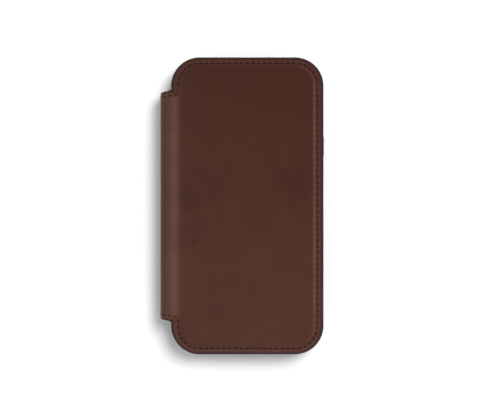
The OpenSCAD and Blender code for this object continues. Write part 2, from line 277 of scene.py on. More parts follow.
def back_relief(x, y):
    """The back's outer face lies flat but for a shallow dip beside the spine."""
    return -BACK_DIP * bump(x, BAND_SHINE + 0.1, 1.2) * tab_share(y) * (x < 0)


def under_rise(x, y):
    """How far the board lifts the leather's inner face."""
    return FIELD_RISE * (1 - smooth(0, 0.5, past_board(x, y)))


def roll(co, upper):
    """Lays a point of the flat-cut sheet round the fold; its z is its height over the outer face."""
    past = FOLD_START - co.x
    narrow = 1 - TAPER * smooth(-1.0, 5.5, past)
    if past <= 0:
        x, z = co.x, SEAM_Z + co.z
    else:
        angle = min(past / NEUTRAL, math.pi / 2)
        reach = FOLD_R + co.z
        x = FOLD_START - reach * math.sin(angle)
        z = SEAM_Z - FOLD_R + reach * math.cos(angle) - max(past - FOLD_ARC, 0)
    return Vector((x, co.y * narrow, z if upper else SEAM_Z - z))


def flat_pattern(bm, inset, z):
    """The sheet as it is cut: a rounded rectangle with the spine's strip and its two filleted roots."""
    half_x, end = LEATHER_X - inset, TAB_END - inset
    rounded_loop(bm, half_x, LEATHER_Y - inset, LEATHER_R - inset, z)
    cut_lines(bm, 1, (-end, end))
    left = [e for e in bm.edges
            if all(v.co.x < -half_x + 0.1 and abs(v.co.y) < end + 0.01 for v in e.verts)]
    made = bmesh.ops.extrude_edge_only(bm, edges=left)
    strip = [v for v in made["geom"] if isinstance(v, bmesh.types.BMVert)]
    bmesh.ops.translate(bm, vec=(-CUT_LENGTH, 0, 0), verts=strip)
    bmesh.ops.dissolve_faces(bm, faces=bm.faces[:])
    roots = [v for v in bm.verts if abs(v.co.x + half_x) < 0.1 and abs(abs(v.co.y) - end) < 0.01]
    bmesh.ops.bevel(bm, geom=roots, offset=TAB_FILLET, offset_type="OFFSET", segments=8,
                    profile=0.5, affect="VERTICES", material=-1)
    face = max(bm.faces, key=lambda f: f.calc_area())
    if face.normal.z < 0:
        face.normal_flip()
    return face


def thicken(bm, face, depth):
    """Gives a flat face a wall downwards; returns the upper and the lower face."""
    made = bmesh.ops.extrude_face_region(bm, geom=[face])
    moved = [v for v in made["geom"] if isinstance(v, bmesh.types.BMVert)]
    bmesh.ops.translate(bm, vec=(0, 0, -depth), verts=moved)
    bm.normal_update()
    flat = sorted((f for f in bm.faces if abs(f.normal.z) > 0.99), key=lambda f: f.calc_center_median().z)
    bmesh.ops.recalc_face_normals(bm, faces=bm.faces)
    return flat[-1], flat[0]


def folio_sheet(name, upper, inset, top, depth, rims, relief, rise, materials):
    """One half of the folded sheet, from its free edges round the fold to the middle of the spine."""
    bm = bmesh.new()
    rim_rise, under_drop = (sum(s[1] for s in rim) for rim in rims)
    face = flat_pattern(bm, inset, top - rim_rise)
    upper_face, lower_face = thicken(bm, face, depth - rim_rise - under_drop)
    stepped_rim(bm, upper_face, rims[0])
    stepped_rim(bm, lower_face, rims[1])
    cut_lines(bm, 0, CREASE_LINES + ROLL_LINES + WALL_LINES)
    trim(bm, 0, STRIP_END, -1)
    paint_edges(bm, inset, top - depth)
    mark_sheen_shade_and_wear(bm, inset, upper)
    middle = top - depth / 2
    for v in bm.verts:
        v.co.z += relief(v.co.x, v.co.y) if v.co.z > middle else rise(v.co.x, v.co.y)
        v.co = roll(v.co, upper)
    return finish_piece(bm, name, materials, None)


def paint_edges(bm, inset, bottom):
    """Gives the second material to the sheet's side faces and to a narrow ring of its outer face."""
    bm.normal_update()
    for f in bm.faces:
        middle = f.calc_center_median()
        on_rim = -FILLET_REACH < edge_depth(middle.x, middle.y) - inset < PAINT_WIDE
        on_edge = abs(f.normal.z) < 0.55 or on_rim
        f.material_index = int(on_edge and middle.x > STRIP_END + 0.05 and middle.z > bottom + 0.2)


def mark_sheen_shade_and_wear(bm, inset, upper):
    """Marks on the flat sheet its painted sheen and highlights, the painted shade in the seam's groove and
    the darker leather by the edge.
    """
    wear_and_sheen = bm.verts.layers.float.new("wear_and_sheen")
    groove_shade_and_edge_dark = bm.verts.layers.float.new("groove_shade_and_edge_dark")
    seam_depth = LEATHER_X - inset - SHELL_X + STITCH_IN
    for v in bm.verts:
        x, y = v.co.x, v.co.y
        inside = edge_depth(x, y) - inset
        # painted highlight and sheen: a lighter, greyer tone on the spine's band, the shoulder's ridge
        # (right side only) and the strip outside the seam
        band = smooth(-BOARD_X, -BOARD_X - 0.9, x) * (0.14 + 0.3 * bump(x, BAND_SHINE, 2.4)) * tab_share(y)
        ridge = 0.2 * bump(past_board(x, y), RIDGE, 0.7) * smooth(20, 34, x) if upper else 0
        v[wear_and_sheen] = min(1, 0.3 * bump(inside, STRIP_SHINE, 0.6) + band + ridge)
        # painted shade in the seam's groove, and darker leather along the edge
        v[groove_shade_and_edge_dark] = max(bump(inside, seam_depth, 0.45), 1 - smooth(0.3, 1.3, inside))


def hang_on_fold(piece):
    """Bakes the piece's placement into its mesh."""
    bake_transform(piece)


# ---------------------------------------------------------------- stitching
def arc_points(cx, cy, radius, start, end, steps=14):
    """Points round an arc, with angles in degrees; radius may be a function of the angle."""
    out = []
    for i in range(steps + 1):
        angle = start + (end - start) * i / steps
        r = radius(angle) if callable(radius) else radius
        out.append((cx + r * math.cos(math.radians(angle)), cy + r * math.sin(math.radians(angle))))
    return out


def seam_path():
    """The seam's line on the flat-cut sheet, from one end of the spine round to the other."""
    line_r = CORNER - STITCH_IN
    mid_x, mid_y = SHELL_X - CORNER, SHELL_Y - CORNER
    row = TAB_END - STITCH_END
    left = mid_x + line_r - SEAM_SHIFT
    half = [(STRIP_END, row)] + arc_points(-left - SEAM_TURN, row + SEAM_TURN, SEAM_TURN, -90, 0, 6)
    half += arc_points(-mid_x, mid_y, lambda a: line_r - SEAM_SHIFT * smooth(105, 172, a), 180, 90)
    half += arc_points(mid_x, mid_y, line_r, 90, 0)
    return half + [(x, -y) for x, y in reversed(half)]


def walk(path, pitch):
    """Evenly spaced places along a path: middle point and direction of each stitch."""
    steps = [math.dist(a, b) for a, b in zip(path, path[1:])]
    count = round(sum(steps) / pitch)
    places, gone, i = [], 0.0, 0
    for k in range(count):
        want = (k + 0.5) * sum(steps) / count
        while gone + steps[i] < want:
            gone += steps[i]
            i += 1
        t = (want - gone) / steps[i]
        (ax, ay), (bx, by) = path[i], path[i + 1]
        places.append((ax + (bx - ax) * t, ay + (by - ay) * t, math.atan2(by - ay, bx - ax)))
    return places


STITCH_LONG, STITCH_WIDE, STITCH_HIGH = 1.75, 0.95, 0.5
STITCH_SLANT = 0.1
NEEDLE_DEEP = 0.22                          # a stitch's ends go this far down into the needle holes


def add_stitch(bm, x, y, angle, z, place, height=STITCH_HIGH):
    """One stitch of round thread, its ends sinking into the needle holes; place sets its points."""
    made = bmesh.ops.create_uvsphere(bm, u_segments=8, v_segments=6, radius=0.5)
    turn = Matrix.Rotation(angle + STITCH_SLANT, 3, "Z")
    for v in made["verts"]:
        along = v.co.z * 2
        sink = math.copysign(NEEDLE_DEEP, height) * along ** 4
        local = Vector((along * STITCH_LONG / 2, v.co.x * STITCH_WIDE, v.co.y * height - sink))
        v.co = place(turn @ local + Vector((x, y, z)))


def inner_level(x, y):
    """Height of the cover's inner face over its outer face where the thread comes through."""
    depth = LEATHER + LINING
    if x > CASH[0].x:
        depth = SEAM_Z - CASH[0].z
    for low, high in reversed(CARDS):
        if x > low.x and low.y < y < high.y:
            depth = SEAM_Z - low.z
    return -depth


def perimeter_seam(name, upper, inner, material):
    """The seam round one panel and along half of each spine end, on both faces of the sheet."""
    bm = bmesh.new()
    relief_of = cover_relief if upper else back_relief

    def on_sheet(co):
        return roll(co, upper)

    for x, y, angle in walk(seam_path(), PITCH):
        add_stitch(bm, x, y, angle, relief_of(x, y) - STITCH_SINK, on_sheet)
        add_stitch(bm, x, y, angle, inner(x, y) + STITCH_SINK / 2, on_sheet, INNER_STITCH_HIGH)
    piece = finish_piece(bm, name, [material], None, sharp=180)
    hang_on_fold(piece)
    return piece


CARD_SEAM_IN = 1.9                          # the seam inside the card panels' left edges
CARD_SEAM_END = 0.4                         # bare length at each end of a panel's row


def card_seam(material):
    """The seam down the card panels' left edges, on each panel's own face."""
    bm = bmesh.new()
    x = CARDS[0][0].x + CARD_SEAM_IN
    start = CARDS[0][0].y
    for low, high in CARDS:
        row = high.y - start - 2 * CARD_SEAM_END
        count = round(row / PITCH)
        for k in range(count):
            y = start + CARD_SEAM_END + (k + 0.5) * row / count
            add_stitch(bm, x, y, math.pi / 2, low.z + 0.03, lambda p: p, INNER_STITCH_HIGH)
        start = high.y
    return finish_piece(bm, "pocket_seam", [material], "cover", sharp=180)


# ---------------------------------------------------------------- pockets
NOTCH_DEEP, NOTCH_HALF = 4.0, 11.0
POCKET_INSET = 0.1                          # pocket edges lie this far inside the cut leather
CREASE_TOP, CREASE_FLOOR = 0.05, 0.09       # heights between which a point lies in the creased line
POCKET_RIM = [(0.08, 0.08), (0.14, 0.05), (0.9, 0), (0.18, -0.07), (0.18, 0.07), (0.5, 0)]


def pocket_sheet(name, box, notch, material, edge):
    """One flat pocket panel with rounded edges, a creased border line and, on a card panel, a notch."""
    low, high = box
    bm = bmesh.new()
    rounded_loop(bm, LEATHER_X - POCKET_INSET, LEATHER_Y - POCKET_INSET,
                 LEATHER_R - POCKET_INSET, high.z)
    trim(bm, 0, low.x, -1, close=False)
    if notch:
        trim(bm, 1, high.y, 1, close=False)
        trim(bm, 1, low.y, -1, close=False)
        middle = (low.x + SHELL_X - STITCH_IN) / 2
        cut_lines(bm, 0, [middle + NOTCH_HALF * i / 20 for i in range(-20, 21)])
        bmesh.ops.dissolve_faces(bm, faces=bm.faces[:])
        for v in bm.verts:
            if v.co.y > high.y - 0.01:
                v.co.y -= NOTCH_DEEP * (1 - smooth(0.15, 1.0, abs(v.co.x - middle) / NOTCH_HALF))
    clear_corners(bm, 2.3)
    face = max(bm.faces, key=lambda f: f.calc_area())
    if face.normal.z < 0:
        face.normal_flip()
    rim_rise = sum(step[1] for step in POCKET_RIM)
    stepped_rim(bm, thicken(bm, face, high.z - low.z - rim_rise)[1], POCKET_RIM)
    bm.normal_update()
    for f in bm.faces:
        f.material_index = int(abs(f.normal.z) < 0.5)
    wear_and_sheen = bm.verts.layers.float.new("wear_and_sheen")
    groove_shade_and_edge_dark = bm.verts.layers.float.new("groove_shade_and_edge_dark")
    for v in bm.verts:
        dip = v.co.z - low.z
        # painted shade along the creased border line
        v[groove_shade_and_edge_dark] = float(CREASE_TOP < dip < CREASE_FLOOR)
        # the card panel is lighter towards its notched top edge
        if notch and dip < 0.03:
            v[wear_and_sheen] = 0.6 * smooth(high.y - NOTCH_DEEP - 1.5, high.y, v.co.y)
    return finish_piece(bm, name, [material, edge], "cover")


# ---------------------------------------------------------------- the shell
CAM_X, CAM_Y, CAM_HALF_X, CAM_HALF_Y, CAM_R = 19.05, 55.65, 14.0, 15.0, 8.0
COLLAR = 1.2                                # width of the rim round the camera opening
WALL, LIP_REACH, LIP_HIGH = 1.6, 1.0, 1.0
PHONE_MID_Z = PAD_HIGH.z + 4.15             # half the phone's thickness above its pad
PORT_TOOL = 12                              # length of the bars that cut the ports
BUTTON_GAP = 1.3                            # a button's hole is this much smaller than its flange
FLANGE = 0.42                               # thickness of the flange that holds a button
PORT = (13.5, 6.0)
SOUND, SOUND_X = (12.0, 3.2), 19.0
SWITCH, SWITCH_Y = (9.5, 5.0), 51.0
MAGNET_LONG = 22.0
MAGNET_MIDDLES = [MAGNET_LOW.y + MAGNET_LONG / 2, MAGNET_HIGH.y - MAGNET_LONG / 2]


def profile_steps(bm, face, steps):
    """Draws a wall's profile: each step (out, z) carries the face to that place, past the outline."""
    cx, cy = SHELL_X - CORNER, SHELL_Y - CORNER
    for out, z in steps:
        made = bmesh.ops.extrude_face_region(bm, geom=[face])
        bmesh.ops.delete(bm, geom=[face], context="FACES_ONLY")
        face = next(f for f in made["geom"] if isinstance(f, bmesh.types.BMFace))
        for v in face.verts:
            corner = Vector((math.copysign(cx, v.co.x), math.copysign(cy, v.co.y), 0))
            away = v.co - corner
            away.z = 0
            v.co = corner + away.normalized() * (CORNER + out)
            v.co.z = z
    return face


def prism(half_x, half_y, radius, depth, place, per_corner=10):
    """A rounded bar standing on its place, used to cut openings."""
    bm = bmesh.new()
    face = rounded_loop(bm, half_x, half_y, radius, depth / 2, per_corner)
    thicken(bm, face, depth)
    bmesh.ops.transform(bm, matrix=place, verts=bm.verts)
    return finish_piece(bm, "cutter", [], None)


def camera_prism(grow, low, high):
    """The camera opening's bar, grown by an amount, between two levels."""
    place = Matrix.Translation((CAM_X, CAM_Y, (low + high) / 2))
    return prism(CAM_HALF_X + grow, CAM_HALF_Y + grow, CAM_R + grow, high - low, place)


def port_prism(size, x, y, side):
    """A stadium bar through the bottom wall, or through a side wall when side is true."""
    turn = Matrix.Rotation(math.pi / 2, 4, "X")
    if side:
        turn = Matrix.Rotation(math.pi / 2, 4, "Z") @ turn
    place = Matrix.Translation((x, y, PHONE_MID_Z)) @ turn
    return prism(size[0] / 2, size[1] / 2, size[1] / 2 - 0.01, PORT_TOOL, place)


def side_prism(long, high, radius, near, far, y):
    """A bar through the right-hand wall, from near to far along X; negative values take the left wall."""
    turn = Matrix.Rotation(math.pi / 2, 4, "Z") @ Matrix.Rotation(math.pi / 2, 4, "X")
    place = Matrix.Translation(((near + far) / 2, y, PHONE_MID_Z)) @ turn
    return prism(long / 2, high / 2, radius, abs(far - near), place)


def button_room(node):
    """The hole for a button's cap and the recess behind it for its flange."""
    low, high = cad_box(node)
    sign, middle = (1 if high.x > 0 else -1), (low.y + high.y) / 2
    long, tall = high.y - low.y, high.z - low.z
    inner = SHELL_X - WALL
    hole = side_prism(long - BUTTON_GAP, tall - BUTTON_GAP, (tall - BUTTON_GAP - 0.02) / 2,
                      sign * (inner - 2), sign * (inner + 5), middle)
    recess = side_prism(long + 0.3, tall + 0.3, 0.6, sign * (inner - 1), sign * (inner + 0.95), middle)
    return [hole, recess]


def shell_tray(material):
    """The moulded shell: softly rounded outside, a lip over the phone's edge, and its openings."""
    under, high, floor = GLUE_TOP, SHELL_TOP, PAD_LOW.z
    bm = bmesh.new()
    face = rounded_loop(bm, SHELL_X, SHELL_Y, CORNER, under + 2.2)
    upper_face, lower_face = thicken(bm, face, 0.8)
    profile_steps(bm, lower_face, [(-0.05, under + 0.8), (-0.2, under + 0.42), (-0.45, under + 0.17),
                                   (-0.85, under + 0.03), (-1.3, under), (-3.0, under)])
    wall = -WALL
    lip = wall - LIP_REACH
    profile_steps(bm, upper_face, [
        (0, under + 3), (0, high - 2.2), (-0.04, high - 1.3), (-0.16, high - 0.75),
        (-0.4, high - 0.3), (-0.75, high - 0.06), (-1.1, high), (-1.7, high), (-2.1, high - 0.05),
        (-2.42, high - 0.2), (lip, high - 0.45), (lip, high - 0.75), (lip + 0.15, high - 0.93),
        (wall - 0.3, high - LIP_HIGH), (wall, high - LIP_HIGH - 0.15), (wall, floor + 1.2),
        (wall - 0.25, floor + 0.35), (wall - 0.8, floor), (wall - 3, floor)])
    shell = finish_piece(bm, "shell_tray", [material], "case_back")
    openings = [
        camera_prism(0, under - 2, floor + 2),
        port_prism(PORT, 0, -SHELL_Y, False),
        port_prism(SOUND, SOUND_X, -SHELL_Y, False),
        port_prism(SOUND, -SOUND_X, -SHELL_Y, False),
        port_prism(SWITCH, -SHELL_X, SWITCH_Y, True)]
    for node in ("power_button", "volume_up_button", "volume_down_button"):
        openings += button_room(node)
    for middle in MAGNET_MIDDLES:
        openings.append(side_prism(MAGNET_LONG + 0.1, MAGNET_HIGH.z - MAGNET_LOW.z + 0.1, 0.3,
                                   SHELL_X - WALL - 0.5, SHELL_X - WALL + 0.5, middle))
    return carve(shell, openings)


def shell_collar(material):
    """The collar that guards the cut leather round the camera opening."""
    bm = bmesh.new()
    bottom, top, rim = 0.45, 2.3, 0.3
    face = rounded_loop(bm, CAM_HALF_X + COLLAR, CAM_HALF_Y + COLLAR, CAM_R + COLLAR, top, 12)
    stepped_rim(bm, thicken(bm, face, top - bottom - rim)[1],
                [(0.06, 0.15), (0.14, 0.11), (0.25, 0.04), (0.35, 0), (0.2, -0.05), (0.14, -0.2),
                 (0.05, -0.6)])
    bmesh.ops.translate(bm, vec=(CAM_X, CAM_Y, 0), verts=bm.verts)
    collar = finish_piece(bm, "camera_collar", [material], "case_back")
    return carve(collar, [camera_prism(0.02, 0, 5)])


def button_cap(node, name, body, material):
    """One button cap: a rounded bar with softened outer edges and the flange that holds it."""
    low, high = cad_box(node)
    sign = 1 if high.x > 0 else -1
    tip, base = (high.x, low.x) if sign > 0 else (-low.x, -high.x)
    half_y, half_z = (high.y - low.y) / 2 - 0.8, (high.z - low.z) / 2 - 0.8
    bm = bmesh.new()
    face = rounded_loop(bm, half_y, half_z, half_z - 0.01, tip - 0.28, 8)
    stepped_rim(bm, thicken(bm, face, tip - 0.28 - base - 0.4)[0],
                [(0.05, 0.12), (0.09, 0.09), (0.16, 0.05), (0.3, 0.02)])
    flange = rounded_loop(bm, half_y + 0.75, half_z + 0.75, 0.5, base + FLANGE, 4)
    made = bmesh.ops.extrude_face_region(bm, geom=[flange])
    verts = [v for v in made["geom"] if isinstance(v, bmesh.types.BMVert)]
    bmesh.ops.translate(bm, vec=(0, 0, -FLANGE), verts=verts)
    turn = Matrix.Rotation(math.pi / 2, 4, "Z") @ Matrix.Rotation(math.pi / 2, 4, "X")
    if sign < 0:
        turn = Matrix.Rotation(math.pi, 4, "Z") @ turn
    middle = Vector((0, (low.y + high.y) / 2, (low.z + high.z) / 2))
    bmesh.ops.transform(bm, matrix=Matrix.Translation(middle) @ turn, verts=bm.verts)
    piece = finish_piece(bm, name, [material], body)
    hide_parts(node)
    return piece


def shell_pad(material):
    """The soft sheet glued to the shell's floor, cut away round the camera opening."""
    bm = bmesh.new()
    rim = [(0.05, 0.06), (0.1, 0.04), (0.2, 0.02)]
    under_rim = PAD_HIGH.z - sum(step[1] for step in rim)
    face = rounded_loop(bm, PAD_HIGH.x, PAD_HIGH.y, CORNER - SHELL_X + PAD_HIGH.x, under_rim)
    stepped_rim(bm, thicken(bm, face, under_rim - PAD_LOW.z)[0], rim)
    pad = finish_piece(bm, "shell_pad", [material], "case_back")
    return carve(pad, [camera_prism(0.6, PAD_LOW.z - 1, PAD_HIGH.z + 1)])


# ---------------------------------------------------------------- shader tools
def add(tree, kind, inputs=None, **settings):
    """Adds a shader node. Settings are its own choices; an input is given a value or a socket to join."""
    made = tree.nodes.new(kind)
    for key, value in settings.items():
        setattr(made, key, value)
    for key, value in (inputs or {}).items():
        if isinstance(value, bpy.types.NodeSocket):
            tree.links.new(value, made.inputs[key])
        else:
            made.inputs[key].default_value = value
    return made


def maths(tree, operation, a, b=0.0, clamp=False):
    """One sum on two values."""
    return add(tree, "ShaderNodeMath", {0: a, 1: b}, operation=operation, use_clamp=clamp).outputs[0]


def remap(tree, value, low, high, to_low=0.0, to_high=1.0):
    """Brings a value from one range to another, eased and held at its ends."""
    made = add(tree, "ShaderNodeMapRange", {"Value": value, "From Min": low, "From Max": high,
                                            "To Min": to_low, "To Max": to_high},
               interpolation_type="SMOOTHSTEP")
    return made.outputs["Result"]


def mix(tree, share, a, b, blend="MIX"):
    """Mixes two colours by a share."""
    made = add(tree, "ShaderNodeMix", {0: share, 6: a, 7: b}, data_type="RGBA", blend_type=blend)
    return made.outputs[2]


def noise(tree, place, scale, detail=3.0, rough=0.5, distortion=0.0):
    """Cloudy noise between 0 and 1, mostly near one half."""
    made = add(tree, "ShaderNodeTexNoise", {"Vector": place, "Scale": scale, "Detail": detail,
                                            "Roughness": rough, "Distortion": distortion})
    return made.outputs["Fac"]


def stretched(tree, place, scale):
    """The place scaled differently along each axis, which draws a texture out."""
    return add(tree, "ShaderNodeMapping", {"Vector": place, "Scale": scale}).outputs["Vector"]


def group(name, inputs, outputs):
    """A new node group; inputs are (name, default), a default of None being a vector."""
    tree = bpy.data.node_groups.new(name, "ShaderNodeTree")
    for label, default in inputs:
        kind = "NodeSocketVector" if default is None else "NodeSocketFloat"
        made = tree.interface.new_socket(name=label, in_out="INPUT", socket_type=kind)
        if default is not None:
            made.default_value = default
    for label in outputs:
        tree.interface.new_socket(name=label, in_out="OUTPUT", socket_type="NodeSocketFloat")
    return tree, tree.nodes.new("NodeGroupInput").outputs, tree.nodes.new("NodeGroupOutput").inputs


def place_group(tree, made, inputs):
    """Places a node group in a material with its own values."""
    placed = tree.nodes.new("ShaderNodeGroup")
    placed.node_tree = made
    for key, value in inputs.items():
        if isinstance(value, bpy.types.NodeSocket):
            tree.links.new(value, placed.inputs[key])
        else:
            placed.inputs[key].default_value = value
    return placed.outputs


def hide_grain_group():
    """Fine pebbled grain of finished leather, with the broader pulls and pores across it."""
    tree, given, out = group("Hide grain", [("Place", None), ("Grain", 2600.0), ("Creasing", 0.35)],
                             ("Height", "Pores"))
    place = given["Place"]
    wander = noise(tree, place, 420.0, 2.0)
    cells = add(tree, "ShaderNodeTexVoronoi", {"Vector": place, "Scale": given["Grain"], "Randomness": 0.95},
                feature="DISTANCE_TO_EDGE").outputs["Distance"]
    pebble = remap(tree, cells, 0.0, 0.28)
    crease = noise(tree, stretched(tree, place, (1.0, 0.55, 1.0)), 900.0, 4.0, 0.6, 0.8)
    height = maths(tree, "ADD", pebble, maths(tree, "MULTIPLY", crease, given["Creasing"]))
    tree.links.new(maths(tree, "ADD", height, maths(tree, "MULTIPLY", wander, 0.4)), out["Height"])
    tree.links.new(maths(tree, "SUBTRACT", 1.0, pebble, clamp=True), out["Pores"])
    return tree


def mottle_group():
    """Uneven dye: broad clouds, hand-sized patches and fine flecks, centred on one half."""
    tree, given, out = group("Uneven dye", [("Place", None), ("Clouds", 22.0), ("Flecks", 900.0)],
                             ("Clouds", "Flecks"))
    broad = noise(tree, given["Place"], given["Clouds"], 3.0, 0.55)
    near = noise(tree, given["Place"], maths(tree, "MULTIPLY", given["Clouds"], 4.5), 4.0, 0.6)
    both = maths(tree, "ADD", maths(tree, "MULTIPLY", broad, 0.6), maths(tree, "MULTIPLY", near, 0.4))
    tree.links.new(both, out["Clouds"])
    tree.links.new(noise(tree, given["Place"], given["Flecks"], 2.0, 0.6), out["Flecks"])
    return tree


def wear_and_sheen_group():
    """A mask of painted sheen and highlights, and of wear, broken up into uneven patches."""
    tree, given, out = group("Wear and sheen patches", [("Place", None), ("Wear and sheen mask", 0.0), ("Patches", 160.0)], ("Patchy wear and sheen",))
    patches = noise(tree, given["Place"], given["Patches"], 5.0, 0.65)
    broken = maths(tree, "MULTIPLY", given["Wear and sheen mask"], remap(tree, patches, 0.3, 0.62, 0.62, 1.0))
    tree.links.new(maths(tree, "MULTIPLY", broken, 1.0, clamp=True), out["Patchy wear and sheen"])
    return tree


def nap_group():
    """Short brushed fibres: fine streaks and the darker tracks where the nap lies the other way."""
    tree, given, out = group("Brushed nap", [("Place", None), ("Fibre", 2400.0)], ("Height", "Tracks"))
    streaks = noise(tree, stretched(tree, given["Place"], (1.0, 0.35, 1.0)), given["Fibre"], 3.0, 0.7)
    tracks = noise(tree, stretched(tree, given["Place"], (1.0, 0.6, 1.0)), 55.0, 4.0, 0.6, 1.2)
    tree.links.new(streaks, out["Height"])
    tree.links.new(tracks, out["Tracks"])
    return tree


def moulding_group():
    """Moulded plastic: a fine spark-etched texture with faint handling smears."""
    tree, given, out = group("Moulded skin", [("Place", None), ("Etch", 5200.0)], ("Height", "Smears"))
    tree.links.new(noise(tree, given["Place"], given["Etch"], 2.0, 0.5), out["Height"])
    smears = noise(tree, stretched(tree, given["Place"], (1.0, 0.4, 1.6)), 90.0, 4.0, 0.6, 0.6)
    tree.links.new(smears, out["Smears"])
    return tree


def surface(name):
    """A new material: its tree, its Principled shader and the object coordinates."""
    material = bpy.data.materials.new(name)
    material.use_nodes = True
    tree = material.node_tree
    shader = tree.nodes["Principled BSDF"]
    place = tree.nodes.new("ShaderNodeTexCoord").outputs["Object"]
    return material, tree, shader, place


def relief(tree, shader, height, depth, strength=1.0):
    """Feeds a height into the shader's normal; depth is in metres."""
    made = add(tree, "ShaderNodeBump", {"Height": height, "Distance": depth, "Strength": strength})
    tree.links.new(made.outputs["Normal"], shader.inputs["Normal"])


def attribute(tree, name):
    """A value painted on the mesh's points; 0 where the mesh has none."""
    return add(tree, "ShaderNodeAttribute", attribute_name=name).outputs["Fac"]


def rgb(red, green, blue):
    """A linear colour from everyday 0 to 255 values."""
    def linear(v):
        v /= 255
        return v / 12.92 if v <= 0.04045 else ((v + 0.055) / 1.055) ** 2.4
    return (linear(red), linear(green), linear(blue), 1.0)


# ---------------------------------------------------------------- materials
def leather_material(name, groups, deep, main, light, sheen_and_wear_tone, grain=2600.0, roughness=0.42):
    """Finished leather: uneven dye between three tones, a painted light gradient along Y, pores, painted
    sheen with some wear, and painted shade in the seam's groove and creases.
    """
    material, tree, shader, place = surface(name)
    dye = place_group(tree, groups["mottle"], {"Place": place})
    hide = place_group(tree, groups["grain"], {"Place": place, "Grain": grain})
    wear_and_sheen_mask = place_group(tree, groups["wear_and_sheen_patches"], {"Place": place, "Wear and sheen mask": attribute(tree, "wear_and_sheen")})["Patchy wear and sheen"]
    groove_shade_and_edge_dark = attribute(tree, "groove_shade_and_edge_dark")
    tone = mix(tree, remap(tree, dye["Clouds"], 0.36, 0.52), deep, main)
    tone = mix(tree, remap(tree, dye["Clouds"], 0.5, 0.68), tone, light)
    # painted light and shade: darker towards the +Y end, lighter towards the -Y end
    along = add(tree, "ShaderNodeSeparateXYZ", {"Vector": place}).outputs["Y"]
    tone = mix(tree, remap(tree, along, -0.02, 0.085, 0.0, 0.8), tone, deep)
    tone = mix(tree, remap(tree, along, 0.0, -0.085, 0.0, 0.5), tone, light)
    tone = mix(tree, remap(tree, dye["Flecks"], 0.35, 0.7, 0.0, 0.25), tone, light)
    tone = mix(tree, maths(tree, "MULTIPLY", hide["Pores"], 0.35), tone, deep)
    # painted shade in the seam's groove and the pockets' creases, darker leather by the edge
    tone = mix(tree, maths(tree, "MULTIPLY", groove_shade_and_edge_dark, 0.55), tone, deep)
    # painted highlight and sheen, with some wear: a lighter, greyer tone
    tone = mix(tree, maths(tree, "MULTIPLY", wear_and_sheen_mask, 0.7), tone, sheen_and_wear_tone)
    tree.links.new(tone, shader.inputs["Base Color"])
    rough = remap(tree, dye["Clouds"], 0.3, 0.7, roughness + 0.05, roughness - 0.04)
    rough = maths(tree, "ADD", rough, maths(tree, "MULTIPLY", wear_and_sheen_mask, -0.08))
    tree.links.new(rough, shader.inputs["Roughness"])
    shader.inputs["Specular IOR Level"].default_value = 0.16
    relief(tree, shader, hide["Height"], 0.00003, 0.5)
    return material


def painted_edge_material(groups):
    """Cut edge sealed with dark edge paint: slightly uneven, low gloss."""
    material, tree, shader, place = surface("painted_edge")
    skin = place_group(tree, groups["mottle"], {"Place": place, "Clouds": 140.0, "Flecks": 2200.0})
    tone = mix(tree, remap(tree, skin["Clouds"], 0.35, 0.65), rgb(22, 14, 13), rgb(34, 24, 22))
    tree.links.new(tone, shader.inputs["Base Color"])
    shader.inputs["Specular IOR Level"].default_value = 0.2
    tree.links.new(remap(tree, skin["Flecks"], 0.3, 0.7, 0.5, 0.66), shader.inputs["Roughness"])
    relief(tree, shader, skin["Flecks"], 0.00005, 0.5)
    return material


def nap_material(name, groups, dark, light, fibre=2400.0):
    """Brushed microfibre with a soft sheen and tracks in its nap."""
    material, tree, shader, place = surface(name)
    nap = place_group(tree, groups["nap"], {"Place": place, "Fibre": fibre})
    tone = mix(tree, remap(tree, nap["Tracks"], 0.35, 0.65), dark, light)
    tone = mix(tree, remap(tree, nap["Height"], 0.3, 0.7, 0.0, 0.35), tone, light)
    tree.links.new(tone, shader.inputs["Base Color"])
    tree.links.new(remap(tree, nap["Tracks"], 0.3, 0.7, 0.96, 0.84), shader.inputs["Roughness"])
    shader.inputs["Sheen Weight"].default_value = 0.35
    shader.inputs["Sheen Roughness"].default_value = 0.45
    shader.inputs["Specular IOR Level"].default_value = 0.2
    relief(tree, shader, nap["Height"], 0.00012, 0.7)
    return material


def thread_material(groups):
    """Waxed, twisted thread in a very dark wine brown."""
    material, tree, shader, place = surface("waxed_thread")
    twist = add(tree, "ShaderNodeTexWave",
                {"Vector": place, "Scale": 900.0, "Distortion": 2.0, "Detail": 2.0},
                bands_direction="DIAGONAL").outputs["Fac"]
    dye = place_group(tree, groups["mottle"], {"Place": place, "Clouds": 300.0})
    tone = mix(tree, remap(tree, dye["Clouds"], 0.35, 0.65), rgb(20, 4, 4), rgb(30, 7, 6))
    tone = mix(tree, maths(tree, "MULTIPLY", twist, 0.3), tone, rgb(40, 13, 11))
    shader.inputs["Specular IOR Level"].default_value = 0.12
    tree.links.new(tone, shader.inputs["Base Color"])
    tree.links.new(remap(tree, dye["Flecks"], 0.3, 0.7, 0.5, 0.66), shader.inputs["Roughness"])
    relief(tree, shader, twist, 0.0001, 0.6)
    return material


def plastic_material(name, groups, dark, light, roughness, etch=5200.0):
    """Moulded black plastic with a fine etched skin."""
    material, tree, shader, place = surface(name)
    shader.inputs["Specular IOR Level"].default_value = 0.16
    skin = place_group(tree, groups["moulding"], {"Place": place, "Etch": etch})
    tone = mix(tree, remap(tree, skin["Smears"], 0.35, 0.65), dark, light)
    tree.links.new(tone, shader.inputs["Base Color"])
    rough = remap(tree, skin["Smears"], 0.3, 0.7, roughness + 0.08, roughness - 0.06)
    tree.links.new(rough, shader.inputs["Roughness"])
    relief(tree, shader, skin["Height"], 0.00002, 0.5)
    return material


